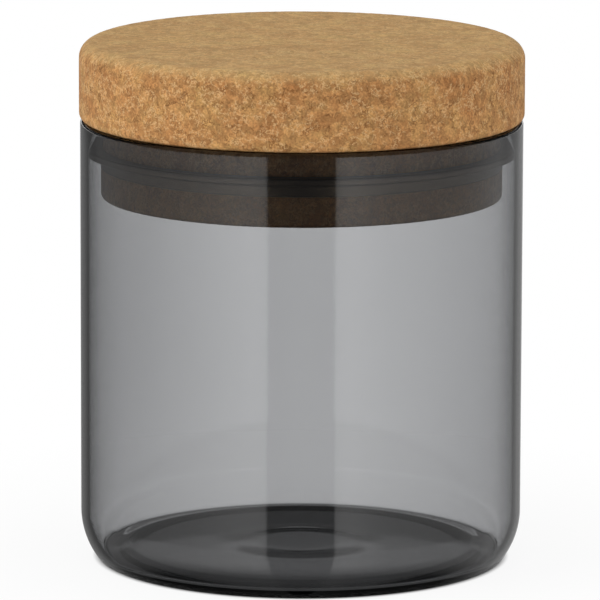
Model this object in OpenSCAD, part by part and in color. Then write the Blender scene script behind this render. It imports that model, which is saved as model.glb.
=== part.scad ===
// Straight-sided storage jar of blown smoke-grey glass, closed by a thick lid
// of agglomerated cork with a silicone seal round its plug.
// Millimetres, +Z up. The origin is the centre of the foot, on the table.

/* [Glass jar] */
// Outside diameter of the straight wall
jar_d = 100; // [80:1:140]
// Height of the rim above the table
jar_h = 100.5; // [80:0.5:160]
// Thickness of the wall and of the heel
wall_t = 1.85; // [1.5:0.05:3]
// Thickness of the base
base_t = 2; // [1.5:0.1:3]
// Radius of the round that turns the wall into the base
heel_round = 17.5; // [16:0.5:24]
// Height at which that round leaves the straight wall
heel_h = 11; // [9:0.5:14]
// Small round between the heel and the flat of the foot
foot_round = 1; // [0.6:0.1:2]
// Width of the flat ring that the jar stands on
foot_w = 4; // [2:0.5:8]
// How far the base is pushed up inside the ring that the jar stands on
base_rise = 0.7; // [0.4:0.1:2]
// How much further the mould's round mark is pushed up in the middle
mark_rise = 0.4; // [0.1:0.1:0.6]
// Round in the corner between the heel and the floor, inside
floor_round = 2; // [1:0.5:4]

/* [Cork lid] */
// How far the disc stands out past the wall
lid_overhang = 0.3; // [0:0.1:2]
// Thickness of the disc
lid_t = 17.6; // [12:0.2:26]
// Round along the disc's top edge
lid_top_round = 3.7; // [1:0.1:5]
// Round along the disc's lower edge
lid_low_round = 1.5; // [0.5:0.1:3]
// Gap between the wall inside and the plug
plug_gap = 2.8; // [1.5:0.1:5]
// Depth of the plug below the disc
plug_h = 17.4; // [12:0.2:24]
// Round along the plug's lower edge
plug_round = 1; // [0.5:0.1:2]
// Depth of the groove that holds the seal
groove_deep = 1.3; // [0.8:0.1:3]
// Distance from the disc down to the groove
groove_drop = 5.9; // [3:0.1:7]

/* [Silicone seal] */
// Height of the band that lies in the groove
seal_h = 4.4; // [3:0.1:5]
// Thickness of the fin that wipes the glass
fin_t = 1.6; // [1:0.1:2]
// Round along the fin's outer edges
fin_round = 0.4; // [0.2:0.1:0.5]
// Round under the fin where it leaves the band
fin_root_round = 0.8; // [0.4:0.1:1]

/* [Clearances] */
// Air between the rim and the disc that rests on it
seat_clearance = 0.05; // [0.02:0.01:0.3]
// Air between the fin and the glass
fin_clearance = 0.1; // [0.05:0.05:0.3]
// Air between the band and the groove
groove_clearance = 0.05; // [0.02:0.01:0.1]

/* [Hidden] */
$fn = 180;
// Largest angle between two points of an arc
arc_step = 6;
// Steps of each arc in the base's slopes
slope_steps = 3;
// Radii of the flats between the slopes, as shares of the foot's inner radius
rise_share = 0.84;
mark_share = 0.48;
mark_top_share = 0.22;

jar_r = jar_d / 2;
bore_r = jar_r - wall_t;
lid_r = jar_r + lid_overhang;
lid_z = jar_h + seat_clearance;
plug_r = bore_r - plug_gap;
groove_r = plug_r - groove_deep;
groove_top = lid_z - groove_drop;
groove_bottom = groove_top - seal_h - 2 * groove_clearance;
fin_r = bore_r - fin_clearance;

// Points of an arc about [x, z], from angle a to angle b
function arc(x, z, r, a, b) =
    let (n = max(1, ceil(abs(b - a) / arc_step)))
    [for (i = [0 : n]) let (t = a + (b - a) * i / n) [x + r * cos(t), z + r * sin(t)]];

function backwards(points) = [for (i = [len(points) - 1 : -1 : 0]) points[i]];

function without_first(points) = [for (i = [1 : len(points) - 1]) points[i]];

// Radius at which the flat at height z ends and its corner round starts
function flat_r(wall, heel, z, corner) =
    wall - heel + sqrt(pow(heel - corner, 2) - pow(heel_h - z - corner, 2));

// Half section from the flat at height z, round the corner and the heel, to the straight wall
function heel_line(wall, heel, z, corner) =
    let (
        corner_r = flat_r(wall, heel, z, corner),
        meet = atan2(z + corner - heel_h, corner_r - wall + heel)
    )
    concat(
        arc(corner_r, z + corner, corner, -90, meet),
        without_first(arc(wall - heel, heel_h, heel, meet, 0))
    );

// Half section of a slope of two equal arcs, from a high flat inside to a low flat outside
function slope_line(high_r, high_z, low_r, low_z) =
    let (
        width = low_r - high_r,
        drop = high_z - low_z,
        bend_r = (pow(width, 2) + pow(drop, 2)) / (4 * drop),
        half_angle = asin(width / 2 / bend_r),
        n = slope_steps
    )
    concat(
        [for (i = [0 : n]) let (t = half_angle * i / n)
            [high_r + bend_r * sin(t), high_z - bend_r * (1 - cos(t))]],
        [for (i = [n - 1 : -1 : 0]) let (t = half_angle * i / n)
            [low_r - bend_r * sin(t), low_z + bend_r * (1 - cos(t))]]
    );

// Half section of the pushed-up base at height z, from the axis out to the flat of the foot
function base_line(z) =
    let (foot_in_r = flat_r(jar_r, heel_round, 0, foot_round) - foot_w)
    concat(
        [[0, z + base_rise + mark_rise]],
        slope_line(foot_in_r * mark_top_share, z + base_rise + mark_rise,
                   foot_in_r * mark_share, z + base_rise),
        slope_line(foot_in_r * rise_share, z + base_rise, foot_in_r, z)
    );

module glass_jar() {
    rim_round = wall_t / 2;
    color([0.42, 0.43, 0.45, 0.5])
        rotate_extrude()
            polygon(concat(
                base_line(0),
                heel_line(jar_r, heel_round, 0, foot_round),
                arc(jar_r - rim_round, jar_h - rim_round, rim_round, 0, 180),
                backwards(heel_line(bore_r, heel_round - wall_t, base_t, floor_round)),
                backwards(base_line(base_t))
            ));
}

module cork_lid() {
    top_z = lid_z + lid_t;
    plug_z = lid_z - plug_h;
    color("peru")
        rotate_extrude()
            polygon(concat(
                [[0, top_z]],
                arc(lid_r - lid_top_round, top_z - lid_top_round, lid_top_round, 90, 0),
                arc(lid_r - lid_low_round, lid_z + lid_low_round, lid_low_round, 0, -90),
                [
                    [plug_r, lid_z],
                    [plug_r, groove_top],
                    [groove_r, groove_top],
                    [groove_r, groove_bottom],
                    [plug_r, groove_bottom]
                ],
                arc(plug_r - plug_round, plug_z + plug_round, plug_round, 0, -90),
                [[0, plug_z]]
            ));
}

module seal_ring() {
    band_r = groove_r + groove_clearance;
    top_z = groove_top - groove_clearance;
    low_z = groove_bottom + groove_clearance;
    under_z = top_z - fin_t;
    color([0.08, 0.08, 0.09])
        rotate_extrude()
            polygon(concat(
                [[band_r, low_z], [plug_r, low_z]],
                arc(plug_r + fin_root_round, under_z - fin_root_round, fin_root_round, 180, 90),
                arc(fin_r - fin_round, under_z + fin_round, fin_round, -90, 0),
                arc(fin_r - fin_round, top_z - fin_round, fin_round, 0, 90),
                [[band_r, top_z]]
            ));
}

glass_jar();
cork_lid();
seal_ring();
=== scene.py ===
"""Looks for a glass storage jar with a cork lid.

Laid out as an add-on and run as a script: each piece has an operator that
makes its mesh and its material around the fixed frame, and one more operator
sets the stage. Lengths are metres unless a name ends in _mm.
"""

import math

import bmesh
import bpy
from bpy.props import FloatProperty, FloatVectorProperty, IntProperty, PointerProperty
from bpy.types import Operator, Panel, PropertyGroup
from mathutils import Matrix, Vector, noise


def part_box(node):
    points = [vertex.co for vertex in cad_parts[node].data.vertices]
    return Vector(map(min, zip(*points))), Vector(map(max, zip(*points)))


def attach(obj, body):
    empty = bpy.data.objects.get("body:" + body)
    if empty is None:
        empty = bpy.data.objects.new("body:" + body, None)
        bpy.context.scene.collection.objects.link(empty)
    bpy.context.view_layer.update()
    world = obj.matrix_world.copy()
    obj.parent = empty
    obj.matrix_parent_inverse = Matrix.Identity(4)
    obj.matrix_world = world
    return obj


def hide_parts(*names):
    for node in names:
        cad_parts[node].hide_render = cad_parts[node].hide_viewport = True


bl_info = {
    "name": "Cork Lid Jar",
    "version": (1, 0, 0),
    "blender": (4, 5, 0),
    "location": "View3D > Sidebar > Jar",
    "description": "Makes a smoke-grey glass jar, its cork lid and the seal round the plug",
    "category": "Object",
}

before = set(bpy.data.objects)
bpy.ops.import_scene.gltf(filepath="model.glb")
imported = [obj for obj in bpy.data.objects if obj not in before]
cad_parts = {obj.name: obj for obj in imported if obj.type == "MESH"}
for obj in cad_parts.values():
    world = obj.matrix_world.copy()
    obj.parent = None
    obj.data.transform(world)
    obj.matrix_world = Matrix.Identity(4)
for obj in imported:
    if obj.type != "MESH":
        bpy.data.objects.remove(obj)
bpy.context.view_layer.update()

MM = 0.001
FULL_TURN = 2 * math.pi
QUARTER = math.pi / 2
GLASS_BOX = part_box("glass_jar")
LID_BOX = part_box("cork_lid")
SEAL_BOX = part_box("seal_ring")
# Radii of the flats between the base's slopes, as shares of the foot's inner radius
RISE_SHARE = 0.84
MARK_SHARE = 0.48
MARK_TOP_SHARE = 0.22
# Keeps the finished pieces just inside the frame's box, past rounding errors
SKIN = 0.00001
WHITE = (1.0, 1.0, 1.0, 1.0)


def linear(code):
    """Turns an sRGB hex colour into the linear RGBA that the shaders use."""
    channels = [int(code[i:i + 2], 16) / 255 for i in (1, 3, 5)]
    return tuple(c / 12.92 if c <= 0.04045 else ((c + 0.055) / 1.055) ** 2.4
                 for c in channels) + (1.0,)


def length(label, text, default, largest=0.2):
    """A length property in metres."""
    return FloatProperty(name=label, description=text, default=default, min=0.0, max=largest,
                         unit="LENGTH", subtype="DISTANCE", precision=5)


def share(label, text, default):
    """A share property, from none to all."""
    return FloatProperty(name=label, description=text, default=default, min=0.0, max=1.0)


def steps_round(default):
    """A property for the steps round the axis, a multiple of eight."""
    return IntProperty(name="Segments", description="Steps round the axis", default=default,
                       min=24, max=720, step=8)


def colour(label, text, code):
    """A colour property, given as an sRGB hex value."""
    return FloatVectorProperty(name=label, description=text, default=linear(code), size=4,
                               min=0.0, max=1.0, subtype="COLOR")


class JarGlassSettings(PropertyGroup):
    """Sizes and colour of the glass."""

    wall: length("Wall", "Thickness of the wall and the heel", 1.85 * MM)
    base: length("Base", "Thickness of the base", 2.0 * MM)
    heel_round: length("Heel round", "Radius of the round from wall to base", 17.5 * MM)
    heel_height: length("Heel height", "Height at which that round leaves the wall", 11.0 * MM)
    foot_round: length("Foot round", "Small round between heel and foot", 1.0 * MM)
    foot_width: length("Foot width", "Width of the flat ring that the jar stands on", 4.0 * MM)
    base_rise: length("Base rise", "How far the base is pushed up inside the foot", 0.7 * MM)
    mark_rise: length("Mark rise", "How much further the mould's round mark is pushed up", 0.4 * MM)
    floor_round: length("Floor round", "Small round between heel and floor, inside", 2.0 * MM)
    floor_share: share("Floor share", "Radius of the floor's flat, over the foot's inner one", 0.93)
    crown: length("Crown", "How far the blown base bulges up past its pressed shape", 0.15 * MM)
    wobble: length("Wobble", "Unevenness of the blown wall, inside", 0.05 * MM)
    wobble_wave: length("Wobble wave", "Usual distance between two waves of it", 35 * MM)
    tint: colour("Smoke tint", "Colour of light after a thickness of glass", "#C0C1C3")
    tint_depth: FloatProperty(name="Density", description="Absorption of the tint, per metre",
                              default=527.0, min=0.0, max=5000.0)
    segments: steps_round(360)


class JarLidSettings(PropertyGroup):
    """Sizes and colours of the cork lid."""

    thickness: length("Disc thickness", "Thickness of the lid's disc", 17.6 * MM)
    top_round: length("Top round", "Round along the disc's top edge", 3.7 * MM)
    low_round: length("Lower round", "Round along the disc's lower edge", 1.5 * MM)
    plug_radius: length("Plug radius", "Radius of the plug in the mouth", 45.35 * MM)
    plug_round: length("Plug round", "Round along the plug's lower edge", 1.0 * MM)
    groove_depth: length("Groove depth", "Depth of the groove for the seal", 1.3 * MM)
    groove_play: length("Groove play", "Air between the seal and its groove", 0.05 * MM)
    granule: length("Granule", "Usual width of a cork granule", 1.1 * MM)
    crumb: length("Crumb", "Usual width of the specks in a granule", 0.45 * MM)
    patch: length("Patch", "Usual width of a patch of one colour", 8 * MM)
    relief: length("Relief", "Depth of the pits between granules", 0.08 * MM)
    middle: colour("Cork", "Usual colour of the pressed cork", "#B38351")
    brown: colour("Brown patches", "Colour of the red-brown patches", "#A26E40")
    olive: colour("Olive patches", "Colour of the olive-tan patches", "#BA9058")
    pale: colour("Torn edges", "Colour of torn granule edges", "#E0B884")
    bark: colour("Bark streaks", "Colour of the dark bark streaks", "#6E431F")
    # Painted sheen: a pale colour mixed into faces that point up, for their whitish gloss
    top_sheen: colour("Dust", "Colour of the sanding dust on flat faces", "#D0B981")
    top_sheen_share: share("Dusting", "Share of the dust's colour on a flat face", 0.3)
    # Painted reflection: a warm tint on the plug's gloss
    plug_glint: colour("Wax", "Colour of the waxed plug's gloss", "#FFDDB4")
    segments: steps_round(400)


class JarSealSettings(PropertyGroup):
    """Sizes and colour of the silicone seal."""

    fin: length("Fin thickness", "Thickness of the fin that wipes the glass", 1.6 * MM)
    fin_round: length("Fin round", "Round along the fin's outer edges", 0.4 * MM)
    root_round: length("Root round", "Round under the fin where it leaves the band", 0.8 * MM)
    silicone: colour("Silicone", "Colour of the moulded silicone", "#1B1B1D")
    glint: colour("Glint", "Colour that its gloss takes from the cork round it", "#FFE3C0")
    segments: steps_round(256)


class JarStageSettings(PropertyGroup):
    """Camera, floor and light."""

    lens_mm: FloatProperty(name="Focal length", description="Lens for a sensor 36 mm wide",
                           default=412.1, min=1.0, max=1000.0)
    distance: length("Distance", "From the camera to the point it looks at", 1.557, 10.0)
    elevation: FloatProperty(name="Elevation", description="Angle of the camera above the horizon",
                             default=math.radians(10.54), subtype="ANGLE")
    roll: FloatProperty(name="Roll", description="Turn of the camera about its line of sight",
                        default=math.radians(0.17), subtype="ANGLE")
    aim_height: length("Aim height", "Height of the point that the camera looks at", 58.75 * MM)
    aim_side: FloatProperty(name="Aim side", description="Sideways place of that point",
                            default=-0.29 * MM, unit="LENGTH", subtype="DISTANCE", precision=5)
    ambient: FloatProperty(name="Ambient", description="Strength of the world as light",
                           default=0.76, min=0.0)
    lamp_power: FloatProperty(name="Lamp power", description="Power of the main soft box",
                              default=5.0, min=0.0, unit="POWER")
    behind_glass: share("Light behind glass", "Share of the light that gets through the jar", 0.2)
    inner_mirror: share("Inner mirror", "Share of mirrored light on the wall's inner face", 0.05)
    # Painted shade: the share of the paper's colour kept under the jar
    under_jar: share("Under the jar", "Share of its colour that the paper keeps there", 0.6)
    gathered: share("Gathered light", "Share of white that the paper there gives back", 0.13)
    # Painted shade: how much darker the paper seen through the jar gets at its left
    left_shade: share("Veil", "Share of grey on the paper seen through the jar, at its left", 0.15)
    white_lift: share("White lift", "Share of plain white in the floor beside the jar", 0.9)
    shadow_start: length("Shadow start", "Reach at which the jar's shadow starts to fade", 60 * MM)
    shadow_end: length("Shadow end", "Reach at which the jar's shadow is gone", 140 * MM)
    paper: colour("Paper", "Colour of the floor", "#F7F7F7")


def add_node(tree, kind, inputs=None, **settings):
    """Adds a node, sets its properties, and fills its sockets with values or links.

    Another node given for a socket stands for its first output.
    """
    node = tree.nodes.new(kind)
    for name, value in settings.items():
        setattr(node, name, value)
    for name, value in (inputs or {}).items():
        if isinstance(value, bpy.types.Node):
            value = value.outputs[0]
        if isinstance(value, bpy.types.NodeSocket):
            tree.links.new(value, node.inputs[name])
        else:
            node.inputs[name].default_value = value
    return node


def new_material(name):
    """A material with an empty node tree."""
    material = bpy.data.materials.new(name)
    material.use_nodes = True
    material.node_tree.nodes.clear()
    return material


def start_line(x, z):
    """Starts a half section at a point, and returns its mesh and that point."""
    bm = bmesh.new()
    made = bmesh.ops.create_vert(bm, co=(x, 0, z))
    return bm, made["vert"][0]


def line_to(bm, vert, x, z, steps=1):
    """Draws a straight stretch of a half section."""
    start = vert.co.copy()
    for step in range(1, steps + 1):
        made = bmesh.ops.extrude_vert_indiv(bm, verts=[vert])
        vert = made["verts"][0]
        vert.co = start.lerp(Vector((x, 0, z)), step / steps)
    return vert


def arc_to(bm, vert, x, z, angle, steps):
    """Draws an arc of a half section about a point, anticlockwise as seen from the front."""
    made = bmesh.ops.spin(bm, geom=[vert], cent=(x, 0, z), axis=(0, -1, 0), dvec=(0, 0, 0),
                          angle=angle, steps=steps, use_duplicate=False)
    return next(item for item in made["geom_last"] if isinstance(item, bmesh.types.BMVert))


def slope_to(bm, vert, x, z, steps=10):
    """Draws a slope as two equal arcs that are level at both ends."""
    start = vert.co.copy()
    run = x - start.x
    climb = z - start.z
    bend = (run ** 2 + climb ** 2) / (4 * abs(climb))
    angle = math.asin(abs(run) / 2 / bend)
    # Towards the axis the base climbs, and away from it the base drops
    if run < 0:
        vert = arc_to(bm, vert, start.x, start.z + bend, -angle, steps)
        return arc_to(bm, vert, x, z - bend, angle, steps)
    vert = arc_to(bm, vert, start.x, start.z - bend, -angle, steps)
    return arc_to(bm, vert, x, z + bend, angle, steps)


def turn(bm, segments):
    """Turns a half section about the axis, and closes its seams and its poles."""
    # An eighth is spun and then doubled three times, which is much quicker than one long spin
    bmesh.ops.spin(bm, geom=bm.verts[:] + bm.edges[:], cent=(0, 0, 0), axis=(0, 0, 1),
                   dvec=(0, 0, 0), angle=FULL_TURN / 8, steps=segments // 8,
                   use_duplicate=False)
    for part in (8, 4, 2):
        made = bmesh.ops.duplicate(bm, geom=bm.verts[:] + bm.edges[:] + bm.faces[:])
        copies = [item for item in made["geom"] if isinstance(item, bmesh.types.BMVert)]
        bmesh.ops.rotate(bm, verts=copies, cent=(0, 0, 0),
                         matrix=Matrix.Rotation(FULL_TURN / part, 3, "Z"))
    bmesh.ops.remove_doubles(bm, verts=bm.verts[:], dist=SKIN / 10)
    bmesh.ops.recalc_face_normals(bm, faces=bm.faces[:])


def finish_piece(bm, name, material, sharp=math.radians(40)):
    """Makes the object of a piece, smooth except along sharp edges."""
    mesh = bpy.data.meshes.new(name)
    bm.to_mesh(mesh)
    bm.free()
    mesh.materials.append(material)
    mesh.shade_smooth()
    mesh.set_sharp_from_angle(angle=sharp)
    piece = bpy.data.objects.new(name, mesh)
    bpy.context.scene.collection.objects.link(piece)
    return piece


def corner_of(axis, heel_round, heel_height, flat, corner):
    """The small round between a heel and a flat: its centre's radius, and where the two meet."""
    drop = heel_height - flat - corner
    corner_x = axis + math.sqrt((heel_round - corner) ** 2 - drop ** 2)
    return corner_x, math.atan2(drop, corner_x - axis)


def smoked_glass(settings):
    """Blown borosilicate glass, tinted through: clear and mirror-smooth.

    It looks darker where light goes a long way in it, as along the wall's sides and in the base.
    """
    material = new_material("smoked_blown_glass")
    tree = material.node_tree
    # Blown glass is never quite flat: slow waves, about 30 mm long, bend the mirrored edges
    place = add_node(tree, "ShaderNodeTexCoord")
    waves = add_node(tree, "ShaderNodeTexNoise", {
        "Vector": place.outputs["Object"], "Scale": 1 / (30 * MM), "Detail": 1.0,
        "Roughness": 0.4})
    bump = add_node(tree, "ShaderNodeBump", {
        "Height": waves, "Strength": 0.15, "Distance": 0.05 * MM})
    surface = add_node(tree, "ShaderNodeBsdfPrincipled", {
        "Base Color": WHITE, "Roughness": 0.0, "IOR": 1.47, "Transmission Weight": 1.0,
        "Normal": bump})
    smoke = add_node(tree, "ShaderNodeVolumeAbsorption", {
        "Color": settings.tint, "Density": settings.tint_depth})
    add_node(tree, "ShaderNodeOutputMaterial", {"Surface": surface, "Volume": smoke})
    return material


class JAR_OT_glass(Operator):
    """Makes the blown glass jar"""

    bl_idname = "jar.glass"
    bl_label = "Glass jar"

    def execute(self, context):
        s = context.scene.jar_glass
        radius = GLASS_BOX[1][0] - SKIN
        bore = radius - s.wall
        top = GLASS_BOX[1][2] - SKIN
        rim = s.wall / 2
        axis = radius - s.heel_round
        foot_end, foot_meet = corner_of(axis, s.heel_round, s.heel_height, 0.0, s.foot_round)
        floor_end, floor_meet = corner_of(axis, s.heel_round - s.wall, s.heel_height, s.base,
                                          s.floor_round)
        foot_in = foot_end - s.foot_width
        mark_top = s.base_rise + s.mark_rise

        bm, pen = start_line(0.0, mark_top)
        pen = line_to(bm, pen, foot_in * MARK_TOP_SHARE, mark_top, steps=3)
        pen = slope_to(bm, pen, foot_in * MARK_SHARE, s.base_rise)
        pen = line_to(bm, pen, foot_in * RISE_SHARE, s.base_rise, steps=5)
        pen = slope_to(bm, pen, foot_in, 0.0)
        pen = line_to(bm, pen, foot_end, 0.0)
        pen = arc_to(bm, pen, foot_end, s.foot_round, QUARTER - foot_meet, steps=8)
        pen = arc_to(bm, pen, axis, s.heel_height, foot_meet, steps=28)
        pen = line_to(bm, pen, radius, top - rim, steps=20)
        pen = arc_to(bm, pen, radius - rim, top - rim, 2 * QUARTER, steps=16)
        pen = line_to(bm, pen, bore, s.heel_height, steps=20)
        pen = arc_to(bm, pen, axis, s.heel_height, -floor_meet, steps=28)
        pen = arc_to(bm, pen, floor_end, s.base + s.floor_round, floor_meet - QUARTER, steps=12)
        pen = slope_to(bm, pen, foot_in * s.floor_share, s.base + s.base_rise)
        pen = line_to(bm, pen, foot_in * MARK_SHARE, s.base + s.base_rise, steps=5)
        pen = slope_to(bm, pen, foot_in * MARK_TOP_SHARE, s.base + mark_top)
        line_to(bm, pen, 0.0, s.base + mark_top, steps=3)
        turn(bm, s.segments)

        # The base bulges up inside the foot, and the inside of the jar is uneven in slow waves
        base_top = s.base + 2 * mark_top
        inside_from = s.base / 2 + s.base_rise
        inside_reach = bore + s.wall / 4
        for vert in bm.verts:
            reach = vert.co.xy.length
            if reach < foot_in and vert.co.z < base_top:
                vert.co.z += s.crown * (1 - (reach / foot_in) ** 2)
            if reach < inside_reach and vert.co.z > inside_from:
                push = s.wobble * noise.noise(vert.co / s.wobble_wave)
                vert.co += Vector((vert.co.x, vert.co.y, 0.0)) * (push / max(reach, bore))

        piece = finish_piece(bm, "jar_glass", smoked_glass(s))
        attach(piece, "jar")
        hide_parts("glass_jar")
        return {"FINISHED"}


def strands(tree, place, width, thickness, patch, rarity):
    """Short crooked lines: the middle level of one noise, cut into pieces by a coarser one."""
    fine = add_node(tree, "ShaderNodeTexNoise", {
        "Vector": place, "Scale": 1 / width, "Detail": 3.0, "Roughness": 0.6})
    level = add_node(tree, "ShaderNodeMath", {0: fine, 1: 0.5}, operation="SUBTRACT")
    size = add_node(tree, "ShaderNodeMath", {0: level}, operation="ABSOLUTE")
    line = add_node(tree, "ShaderNodeMapRange", {
        "Value": size, "From Min": 0.0, "From Max": thickness, "To Min": 1.0, "To Max": 0.0},
        interpolation_type="SMOOTHSTEP")
    coarse = add_node(tree, "ShaderNodeTexNoise", {
        "Vector": place, "Scale": 1 / patch, "Detail": 2.0, "Roughness": 0.6})
    kept = add_node(tree, "ShaderNodeMapRange", {
        "Value": coarse, "From Min": rarity, "From Max": rarity + 0.08},
        interpolation_type="SMOOTHSTEP")
    return add_node(tree, "ShaderNodeMath", {0: line, 1: kept}, operation="MULTIPLY")


def cork(settings, name, gloss, specular, shine):
    """Fine agglomerated cork: tan, mottled in soft patches, with torn edges and bark streaks."""
    material = new_material(name)
    tree = material.node_tree
    place = add_node(tree, "ShaderNodeTexCoord")
    spot = place.outputs["Object"]
    # Patches of many granules drift between olive tan and red brown
    drift = add_node(tree, "ShaderNodeTexNoise", {
        "Vector": spot, "Scale": 1 / settings.patch, "Detail": 3.0, "Roughness": 0.6})
    patches = add_node(tree, "ShaderNodeValToRGB", {"Fac": drift})
    ramp = patches.color_ramp
    ramp.elements[0].position = 0.28
    ramp.elements[0].color = settings.brown
    ramp.elements[1].position = 0.72
    ramp.elements[1].color = settings.olive
    ramp.elements.new(0.5).color = settings.middle

    # Granules are torn crumbs, so noise of about their own width, 0.9 mm, bends their pattern
    # by up to 1.4 mm
    tear = add_node(tree, "ShaderNodeTexNoise", {
        "Vector": spot, "Scale": 1 / (0.9 * MM), "Detail": 2.0, "Roughness": 0.6})
    centred = add_node(tree, "ShaderNodeVectorMath", {
        0: tear.outputs["Color"], 1: (0.5, 0.5, 0.5)}, operation="SUBTRACT")
    shift = add_node(tree, "ShaderNodeVectorMath", {0: centred, "Scale": 1.4 * MM},
                     operation="SCALE")
    bent = add_node(tree, "ShaderNodeVectorMath", {0: spot, 1: shift})
    granules = add_node(tree, "ShaderNodeTexVoronoi", {
        "Vector": bent, "Scale": 1 / settings.granule})
    pick = add_node(tree, "ShaderNodeSeparateColor", {"Color": granules.outputs["Color"]})

    # Each granule has its own shade, with finer specks in it, and a few are rusty
    own = add_node(tree, "ShaderNodeMapRange", {
        "Value": pick.outputs["Red"], "To Min": 0.8, "To Max": 1.18},
        interpolation_type="SMOOTHSTEP")
    specks = add_node(tree, "ShaderNodeTexNoise", {
        "Vector": spot, "Scale": 1 / settings.crumb, "Detail": 3.0, "Roughness": 0.6})
    speckled = add_node(tree, "ShaderNodeMapRange", {
        "Value": specks, "From Min": 0.28, "From Max": 0.72, "To Min": 0.72, "To Max": 1.25},
        interpolation_type="SMOOTHSTEP")
    tone = add_node(tree, "ShaderNodeMath", {0: own, 1: speckled}, operation="MULTIPLY")
    toned = add_node(tree, "ShaderNodeVectorMath", {0: patches, "Scale": tone.outputs["Value"]},
                     operation="SCALE")
    rust = add_node(tree, "ShaderNodeMapRange", {
        "Value": pick.outputs["Green"], "From Min": 0.72, "From Max": 0.95, "To Max": 0.45},
        interpolation_type="SMOOTHSTEP")
    # A Mix node's colours are its sockets 6 and 7, and come out of its third output
    rusty = add_node(tree, "ShaderNodeMix", {0: rust, 6: toned, 7: settings.brown},
                     data_type="RGBA")

    # Torn edges and streaks of bark are crumbs about 3 mm long, of lines about 0.1 mm wide
    torn = strands(tree, spot, width=1.3 * MM, thickness=0.05, patch=3 * MM, rarity=0.46)
    torn_share = add_node(tree, "ShaderNodeMath", {0: torn, 1: 0.65}, operation="MULTIPLY")
    edged = add_node(tree, "ShaderNodeMix", {
        0: torn_share, 6: rusty.outputs[2], 7: settings.pale}, data_type="RGBA")
    elsewhere = add_node(tree, "ShaderNodeVectorMath", {0: spot, 1: (0.031, 0.017, 0.043)})
    streaks = strands(tree, elsewhere, width=1.5 * MM, thickness=0.045, patch=2.5 * MM,
                      rarity=0.52)
    streak_share = add_node(tree, "ShaderNodeMath", {0: streaks, 1: 0.7}, operation="MULTIPLY")
    streaked = add_node(tree, "ShaderNodeMix", {
        0: streak_share, 6: edged.outputs[2], 7: settings.bark}, data_type="RGBA")

    # The flat faces are sanded smoother. Painted sheen: faces that point up are mixed towards a
    # pale colour, for the whitish gloss that the top shows
    facing = add_node(tree, "ShaderNodeSeparateXYZ", {"Vector": place.outputs["Normal"]})
    flat = add_node(tree, "ShaderNodeMapRange", {
        "Value": facing.outputs["Z"], "From Min": 0.2, "From Max": 0.95,
        "To Max": settings.top_sheen_share}, interpolation_type="SMOOTHSTEP")
    sheened_top = add_node(tree, "ShaderNodeMix", {
        0: flat, 6: streaked.outputs[2], 7: settings.top_sheen}, data_type="RGBA")

    height = add_node(tree, "ShaderNodeMath", {0: tone, 1: streaks}, operation="SUBTRACT")
    bump = add_node(tree, "ShaderNodeBump", {
        "Height": height, "Strength": 0.5, "Distance": 0.12 * MM})
    surface = add_node(tree, "ShaderNodeBsdfPrincipled", {
        "Base Color": sheened_top.outputs[2], "Roughness": gloss, "IOR": 1.45,
        "Specular IOR Level": specular, "Specular Tint": shine, "Normal": bump})
    add_node(tree, "ShaderNodeOutputMaterial", {"Surface": surface})
    return material


class JAR_OT_cork_lid(Operator):
    """Makes the turned cork lid with its plug and groove"""

    bl_idname = "jar.cork_lid"
    bl_label = "Cork lid"

    def execute(self, context):
        s = context.scene.jar_lid
        radius = LID_BOX[1][0] - SKIN
        top = LID_BOX[1][2] - SKIN
        under = top - s.thickness
        plug_end = LID_BOX[0][2] + SKIN
        groove_top = SEAL_BOX[1][2] + s.groove_play
        groove_end = SEAL_BOX[0][2] - s.groove_play
        groove = s.plug_radius - s.groove_depth
        plug_flat = s.plug_radius - s.plug_round

        # Steps of about 0.7 mm, so that the pits of the skin can show
        bm, pen = start_line(0.0, plug_end)
        pen = line_to(bm, pen, plug_flat, plug_end, steps=60)
        pen = arc_to(bm, pen, plug_flat, plug_end + s.plug_round, QUARTER, steps=5)
        pen = line_to(bm, pen, s.plug_radius, groove_end, steps=9)
        pen = line_to(bm, pen, groove, groove_end, steps=2)
        pen = line_to(bm, pen, groove, groove_top, steps=4)
        pen = line_to(bm, pen, s.plug_radius, groove_top, steps=2)
        pen = line_to(bm, pen, s.plug_radius, under, steps=8)
        pen = line_to(bm, pen, radius - s.low_round, under, steps=5)
        pen = arc_to(bm, pen, radius - s.low_round, under + s.low_round, QUARTER, steps=6)
        pen = line_to(bm, pen, radius, top - s.top_round, steps=17)
        pen = arc_to(bm, pen, radius - s.top_round, top - s.top_round, QUARTER, steps=10)
        line_to(bm, pen, 0.0, top, steps=62)
        turn(bm, s.segments)

        # Sanded cork is pitted: the skin sinks by pits between granules and by a softer
        # unevenness of half their width, and never rises. A pit gets deeper the further it
        # is from the middle of a granule, and takes its share of the whole depth
        pit_growth = 1.2
        pit_share = 0.6
        moves = []
        for vert in bm.verts:
            nearest = noise.voronoi(vert.co / s.granule)[0][0]
            soft = 0.5 + 0.5 * noise.noise(vert.co / (s.granule / 2))
            pit = min(1.0, nearest * pit_growth)
            depth = pit * pit_share + soft * (1 - pit_share)
            moves.append((vert, vert.normal * -s.relief * depth))
        for vert, move in moves:
            vert.co += move

        # The disc is sanded and left dry. The plug is waxed so that it slides, and the wax gives it
        # a soft gloss.
        # A painted warm tint colours the plug's gloss
        sanded = cork(s, "sanded_agglomerated_cork", gloss=0.85, specular=0.25, shine=WHITE)
        waxed = cork(s, "waxed_agglomerated_cork", gloss=0.3, specular=1.0, shine=s.plug_glint)
        piece = finish_piece(bm, "lid_cork", sanded, sharp=math.radians(60))
        piece.data.materials.append(waxed)
        for face in piece.data.polygons:
            if face.center.z < under - SKIN - s.relief:
                face.material_index = 1
        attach(piece, "lid")
        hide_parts("cork_lid")
        return {"FINISHED"}


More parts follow.
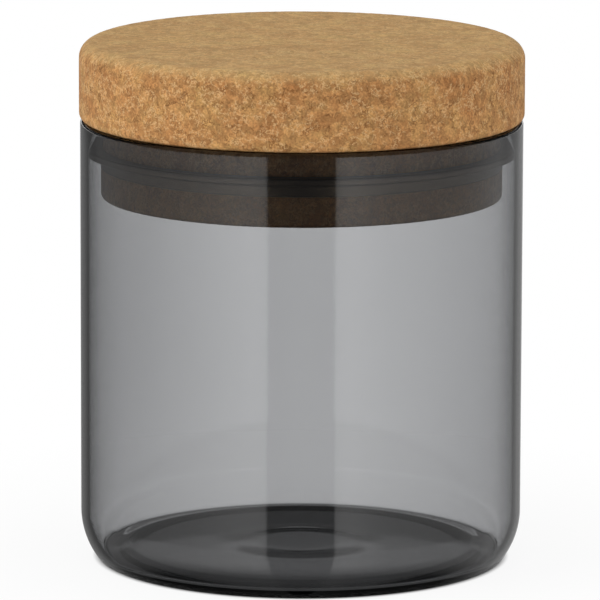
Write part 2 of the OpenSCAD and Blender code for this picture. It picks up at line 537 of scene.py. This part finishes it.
def silicone(settings):
    """Compression-moulded silicone: black, with a satin gloss and slow waves from the mould."""
    material = new_material("moulded_black_silicone")
    tree = material.node_tree
    place = add_node(tree, "ShaderNodeTexCoord")
    # The polished mould's waves are about 6 mm long and a few hundredths of a millimetre deep
    waves = add_node(tree, "ShaderNodeTexNoise", {
        "Vector": place.outputs["Object"], "Scale": 1 / (6 * MM), "Detail": 1.0})
    gloss = add_node(tree, "ShaderNodeMapRange", {"Value": waves, "To Min": 0.28, "To Max": 0.34})
    bump = add_node(tree, "ShaderNodeBump", {
        "Height": waves, "Strength": 0.2, "Distance": 0.03 * MM})
    surface = add_node(tree, "ShaderNodeBsdfPrincipled", {
        "Base Color": settings.silicone, "Roughness": gloss, "IOR": 1.5,
        "Specular IOR Level": 1.0, "Specular Tint": settings.glint, "Normal": bump})
    add_node(tree, "ShaderNodeOutputMaterial", {"Surface": surface})
    return material


class JAR_OT_seal_ring(Operator):
    """Makes the silicone seal: a band in the groove and a fin that wipes the glass"""

    bl_idname = "jar.seal_ring"
    bl_label = "Seal ring"

    def execute(self, context):
        s = context.scene.jar_seal
        lid = context.scene.jar_lid
        radius = SEAL_BOX[1][0] - SKIN
        top = SEAL_BOX[1][2] - SKIN
        low = SEAL_BOX[0][2] + SKIN
        inner = lid.plug_radius - lid.groove_depth + lid.groove_play
        under = top - s.fin
        fin_flat = radius - s.fin_round
        root = under - s.root_round

        bm, pen = start_line(inner, low)
        pen = line_to(bm, pen, lid.plug_radius, low, steps=2)
        pen = line_to(bm, pen, lid.plug_radius, root, steps=3)
        pen = arc_to(bm, pen, lid.plug_radius + s.root_round, root, -QUARTER, steps=8)
        pen = line_to(bm, pen, fin_flat, under, steps=3)
        pen = arc_to(bm, pen, fin_flat, under + s.fin_round, QUARTER, steps=6)
        pen = line_to(bm, pen, radius, top - s.fin_round)
        pen = arc_to(bm, pen, fin_flat, top - s.fin_round, QUARTER, steps=6)
        pen = line_to(bm, pen, inner, top, steps=6)
        line_to(bm, pen, inner, low, steps=4)
        turn(bm, s.segments)

        piece = finish_piece(bm, "seal_silicone", silicone(s))
        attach(piece, "lid")
        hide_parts("seal_ring")
        return {"FINISHED"}


# The studio as the glass mirrors it. Below the horizon it goes by azimuth, in degrees from the
# front of the stage, left of it below zero: a soft box on each side, a dark gap between them,
# and dim studio walls behind
MIRRORED_LIGHT = (
    (-180, 0.30), (-164, 0.25), (-157, 0.27), (-147, 0.20), (-137, 0.20), (-131, 0.32),
    (-123, 0.45), (-114, 0.55), (-102, 0.62), (-90, 0.70), (-75, 0.85), (-60, 1.0), (-48, 1.2),
    (-36, 1.4), (-25, 1.5), (-18.4, 1.35), (-17.0, 0.15), (17.0, 0.15), (18.4, 1.4), (25, 1.6),
    (36, 1.35), (48, 1.08), (60, 1.0), (75, 0.87), (90, 0.78), (114, 0.78), (123, 0.72),
    (131, 0.46), (137, 0.42), (150, 0.40), (157, 0.45), (163, 0.38), (174, 0.50), (180, 0.50),
)
# The level that the curve of those levels counts as one
FULL_LIGHT = 2.0
# Above the horizon it goes by the upward part of the direction: the studio's bright back wall,
# the dark space over it with one lit shelf, and the ceiling lights
MIRRORED_RISE = (
    (0.0, 1.0), (0.04, 1.0), (0.07, 0.05), (0.2, 0.05), (0.23, 0.41), (0.25, 0.45),
    (0.285, 0.03), (0.7, 0.03), (0.85, 1.0), (1.0, 1.0),
)
# Upward parts of a direction between which the one gives way to the other
HORIZON = (-0.06, 0.0)
# Upward parts between which the jar's own shade on the paper gives way to the studio, and the
# share of its light that this shade keeps
OWN_SHADE = (-0.74, -0.5)
OWN_SHADE_LEVEL = 0.08
# Backward parts of a direction between which the space over the front, which keeps only a
# share of that light, gives way to the space over the back
OVER_BACK = (-0.2, 0.1)
OVER_FRONT_LEVEL = 0.1
# How far inside the jar's outline the paper's shade under it starts to fade, and has faded
SHADE_EDGE = (4 * MM, 2.5 * MM)
FLOOR_SIZE = 6.0
SOFT_BOX_SIZE = 0.7
# Each soft box with its place and its share of the lamps' power
SOFT_BOXES = (
    ("soft_box_left", (-0.95, -0.5, 0.65), 1.0),
    ("soft_box_right", (1.0, -0.1, 0.6), 0.25),
)


def mirrored_level(tree, place, levels, largest):
    """The level along a list of places and levels, over the largest one, as a curve."""
    node = add_node(tree, "ShaderNodeFloatCurve", {"Value": place})
    curve = node.mapping.curves[0]
    for point, (at, level) in zip(curve.points, (levels[0], levels[-1])):
        point.location = (at, level / largest)
    for at, level in levels[1:-1]:
        curve.points.new(at, level / largest)
    for point in curve.points:
        point.handle_type = "VECTOR"
    node.mapping.update()
    return node


def light_paths(tree):
    """Sorts the light that reaches the stage.

    Returns the Light Path node and three shares of light: seen by the camera, also through
    glass; mirrored; and dimmed, which is on its way through glass to a matt surface.
    """
    path = add_node(tree, "ShaderNodeLightPath")
    through = path.outputs["Is Transmission Ray"]
    fresh = add_node(tree, "ShaderNodeMath", {0: path.outputs["Diffuse Depth"], 1: 0.5},
                     operation="LESS_THAN")
    straight = add_node(tree, "ShaderNodeMath", {
        0: path.outputs["Is Camera Ray"], 1: through}, operation="MAXIMUM")
    seen = add_node(tree, "ShaderNodeMath", {0: straight, 1: fresh}, operation="MULTIPLY")
    glossy = add_node(tree, "ShaderNodeMath", {0: path.outputs["Glossy Depth"], 1: 0.5},
                      operation="GREATER_THAN")
    mirrored = add_node(tree, "ShaderNodeMath", {0: glossy, 1: fresh}, operation="MULTIPLY")
    matt = add_node(tree, "ShaderNodeMath", {0: 1.0, 1: fresh}, operation="SUBTRACT")
    dimmed = add_node(tree, "ShaderNodeMath", {0: through, 1: matt}, operation="MULTIPLY")
    return path, seen, mirrored, dimmed


def paper(settings):
    """Matt white background paper: plain, and it keeps the soft shadow of what stands on it."""
    material = new_material("matt_white_paper")
    tree = material.node_tree
    path, seen, mirrored, dimmed = light_paths(tree)
    place = add_node(tree, "ShaderNodeTexCoord")
    flat = add_node(tree, "ShaderNodeVectorMath", {
        0: place.outputs["Object"], 1: (1.0, 1.0, 0.0)}, operation="MULTIPLY")
    reach = add_node(tree, "ShaderNodeVectorMath", {0: flat}, operation="LENGTH")

    # Painted shade: under the jar the paper's colour is darkened, for the jar's shade there
    outside = add_node(tree, "ShaderNodeMapRange", {
        "Value": reach.outputs["Value"], "From Min": GLASS_BOX[1][0] - SHADE_EDGE[0],
        "From Max": GLASS_BOX[1][0] - SHADE_EDGE[1]})
    dim = add_node(tree, "ShaderNodeMapRange", {
        "Value": dimmed, "To Min": 1.0, "To Max": settings.behind_glass})
    painted_shade_under_jar = add_node(tree, "ShaderNodeMapRange", {
        "Value": outside, "To Min": settings.under_jar, "To Max": 1.0})
    shaded = add_node(tree, "ShaderNodeMath", {0: dim, 1: painted_shade_under_jar}, operation="MULTIPLY")
    shade = add_node(tree, "ShaderNodeVectorMath", {
        0: settings.paper[:3], "Scale": shaded.outputs["Value"]}, operation="SCALE")
    matt = add_node(tree, "ShaderNodeBsdfDiffuse", {"Color": shade})

    # Painted shade: seen through the glass, the paper is darkened towards the left
    parts = add_node(tree, "ShaderNodeSeparateXYZ", {"Vector": place.outputs["Object"]})
    grey = add_node(tree, "ShaderNodeMapRange", {
        "Value": parts.outputs["X"], "From Min": -settings.shadow_start, "From Max": 0.0,
        "To Min": settings.left_shade, "To Max": 0.0})
    left_shade_seen = add_node(tree, "ShaderNodeMath", {
        0: grey, 1: path.outputs["Is Transmission Ray"]}, operation="MULTIPLY")
    brightness = add_node(tree, "ShaderNodeMath", {0: 1.0, 1: left_shade_seen}, operation="SUBTRACT")
    white = add_node(tree, "ShaderNodeEmission", {"Color": WHITE, "Strength": brightness})

    # Away from the jar the paper is plain white to the eye, and near it keeps the jar's shadow.
    # Under the jar it gives back only the little light that the foot gathers
    away = add_node(tree, "ShaderNodeMapRange", {
        "Value": reach.outputs["Value"], "From Min": settings.shadow_start,
        "From Max": settings.shadow_end, "To Min": settings.white_lift, "To Max": 1.0})
    gathered = add_node(tree, "ShaderNodeMapRange", {
        "Value": outside, "To Min": settings.gathered, "To Max": 1.0})
    plain = add_node(tree, "ShaderNodeMath", {0: seen, 1: away}, operation="MULTIPLY")
    lift = add_node(tree, "ShaderNodeMath", {0: plain, 1: gathered}, operation="MULTIPLY")
    lit = add_node(tree, "ShaderNodeMixShader", {0: lift, 1: matt, 2: white})

    # Mirrored light comes from the studio beyond, so the paper lets it pass
    clear = add_node(tree, "ShaderNodeBsdfTransparent")
    passing = add_node(tree, "ShaderNodeMath", {0: mirrored, 1: outside}, operation="MULTIPLY")
    whole = add_node(tree, "ShaderNodeMixShader", {0: passing, 1: lit, 2: clear})
    add_node(tree, "ShaderNodeOutputMaterial", {"Surface": whole})
    return material


def studio_world(settings):
    """A white studio: even light all round, white where it is seen, soft boxes where mirrored."""
    world = bpy.data.worlds.new("white_studio")
    world.use_nodes = True
    tree = world.node_tree
    tree.nodes.clear()
    path, seen, mirrored, dimmed = light_paths(tree)
    place = add_node(tree, "ShaderNodeTexCoord")
    parts = add_node(tree, "ShaderNodeSeparateXYZ", {"Vector": place.outputs["Generated"]})
    rise = parts.outputs["Z"]
    front = add_node(tree, "ShaderNodeMath", {0: parts.outputs["Y"], 1: -1.0},
                     operation="MULTIPLY")
    azimuth = add_node(tree, "ShaderNodeMath", {0: parts.outputs["X"], 1: front},
                       operation="ARCTAN2")
    turn_share = add_node(tree, "ShaderNodeMapRange", {
        "Value": azimuth, "From Min": -math.pi, "From Max": math.pi})
    by_share = [(angle / 360 + 0.5, level) for angle, level in MIRRORED_LIGHT]
    boxes = mirrored_level(tree, turn_share, by_share, FULL_LIGHT)

    # The outer face mirrors the boxes in full, the wall's inner face faintly, and what stands
    # in the jar in full again, beyond four crossings of the glass
    crossings = path.outputs["Transmission Depth"]
    inner = add_node(tree, "ShaderNodeMath", {0: crossings, 1: 0.5}, operation="GREATER_THAN")
    inside = add_node(tree, "ShaderNodeMath", {0: crossings, 1: 3.5}, operation="GREATER_THAN")
    inner_face = add_node(tree, "ShaderNodeMath", {0: inner, 1: inside}, operation="SUBTRACT")
    strength = add_node(tree, "ShaderNodeMapRange", {
        "Value": inner_face, "To Min": FULL_LIGHT, "To Max": FULL_LIGHT * settings.inner_mirror})
    # Steeply down, the jar mirrors only its own shade on the paper
    steep = add_node(tree, "ShaderNodeMapRange", {
        "Value": rise, "From Min": OWN_SHADE[0], "From Max": OWN_SHADE[1],
        "To Min": OWN_SHADE_LEVEL, "To Max": 1.0})
    shaded = add_node(tree, "ShaderNodeMath", {0: strength, 1: steep}, operation="MULTIPLY")
    sideways = add_node(tree, "ShaderNodeMath", {0: boxes, 1: shaded}, operation="MULTIPLY")

    heights = mirrored_level(tree, rise, MIRRORED_RISE, 1.0)
    over_back = add_node(tree, "ShaderNodeMapRange", {
        "Value": parts.outputs["Y"], "From Min": OVER_BACK[0], "From Max": OVER_BACK[1],
        "To Min": OVER_FRONT_LEVEL, "To Max": 1.0})
    overhead = add_node(tree, "ShaderNodeMath", {0: heights, 1: over_back}, operation="MULTIPLY")
    rising = add_node(tree, "ShaderNodeMapRange", {
        "Value": rise, "From Min": HORIZON[0], "From Max": HORIZON[1]})
    mirror_level = add_node(tree, "ShaderNodeMix", {
        "Factor": rising, "A": sideways, "B": overhead})

    white = add_node(tree, "ShaderNodeMapRange", {
        "Value": seen, "To Min": settings.ambient, "To Max": 1.0})
    dim = add_node(tree, "ShaderNodeMapRange", {
        "Value": dimmed, "To Min": 1.0, "To Max": settings.behind_glass})
    level = add_node(tree, "ShaderNodeMath", {0: white, 1: dim}, operation="MULTIPLY")
    plain = add_node(tree, "ShaderNodeBackground", {"Color": WHITE, "Strength": level})
    light = add_node(tree, "ShaderNodeBackground", {"Color": WHITE, "Strength": mirror_level})
    whole = add_node(tree, "ShaderNodeMixShader", {0: mirrored, 1: plain, 2: light})
    add_node(tree, "ShaderNodeOutputWorld", {"Surface": whole})
    return world


class JAR_OT_stage(Operator):
    """Sets the camera, the paper floor and the light"""

    bl_idname = "jar.stage"
    bl_label = "Stage"

    def execute(self, context):
        s = context.scene.jar_stage
        scene = context.scene
        scene.view_settings.view_transform = "Standard"
        scene.world = studio_world(s)

        bm = bmesh.new()
        bmesh.ops.create_grid(bm, x_segments=1, y_segments=1, size=FLOOR_SIZE / 2)
        bmesh.ops.translate(bm, verts=bm.verts[:], vec=(0, 0, -SKIN))
        finish_piece(bm, "paper_floor", paper(s))

        aim = Vector((s.aim_side, 0.0, s.aim_height))
        back = Vector((0.0, -math.cos(s.elevation), math.sin(s.elevation)))
        camera_data = bpy.data.cameras.new("camera")
        camera_data.lens = s.lens_mm
        camera_data.sensor_width = 36.0
        camera_data.clip_start = 0.1
        camera_data.clip_end = 20.0
        camera = bpy.data.objects.new("camera", camera_data)
        look = (-back).to_track_quat("-Z", "Y").to_matrix().to_4x4()
        camera.matrix_world = (Matrix.Translation(aim + back * s.distance) @ look
                               @ Matrix.Rotation(s.roll, 4, "Z"))
        scene.collection.objects.link(camera)
        scene.camera = camera

        for name, place, part in SOFT_BOXES:
            self.soft_box(scene, name, place, s.lamp_power * part)
        return {"FINISHED"}

    def soft_box(self, scene, name, place, power):
        """Adds a square lamp that points at the jar and isn't mirrored in it."""
        lamp = bpy.data.lights.new(name, "AREA")
        lamp.shape = "SQUARE"
        lamp.size = SOFT_BOX_SIZE
        lamp.energy = power
        box = bpy.data.objects.new(name, lamp)
        box.location = place
        box.rotation_euler = (-Vector(place)).to_track_quat("-Z", "Y").to_euler()
        box.visible_glossy = False
        box.visible_transmission = False
        box.visible_camera = False
        scene.collection.objects.link(box)


class JAR_PT_pieces(Panel):
    """Lists the pieces of the jar and their sizes"""

    bl_label = "Cork lid jar"
    bl_idname = "JAR_PT_pieces"
    bl_space_type = "VIEW_3D"
    bl_region_type = "UI"
    bl_category = "Jar"

    def draw(self, context):
        for operator, settings in STEPS:
            box = self.layout.box()
            box.operator(operator.bl_idname)
            group = getattr(context.scene, settings)
            for name in group.__annotations__:
                box.prop(group, name)


# Each operator with its own settings, in the order they run
STEPS = (
    (JAR_OT_stage, "jar_stage"),
    (JAR_OT_glass, "jar_glass"),
    (JAR_OT_cork_lid, "jar_lid"),
    (JAR_OT_seal_ring, "jar_seal"),
)
GROUPS = {
    "jar_stage": JarStageSettings,
    "jar_glass": JarGlassSettings,
    "jar_lid": JarLidSettings,
    "jar_seal": JarSealSettings,
}


def register():
    for name, group in GROUPS.items():
        bpy.utils.register_class(group)
        setattr(bpy.types.Scene, name, PointerProperty(type=group))
    for operator, _ in STEPS:
        bpy.utils.register_class(operator)
    bpy.utils.register_class(JAR_PT_pieces)


def unregister():
    bpy.utils.unregister_class(JAR_PT_pieces)
    for operator, _ in reversed(STEPS):
        bpy.utils.unregister_class(operator)
    for name, group in reversed(GROUPS.items()):
        delattr(bpy.types.Scene, name)
        bpy.utils.unregister_class(group)


def main():
    register()
    for operator, _ in STEPS:
        group, verb = operator.bl_idname.split(".")
        getattr(getattr(bpy.ops, group), verb)()


if __name__ == "__main__":
    main()
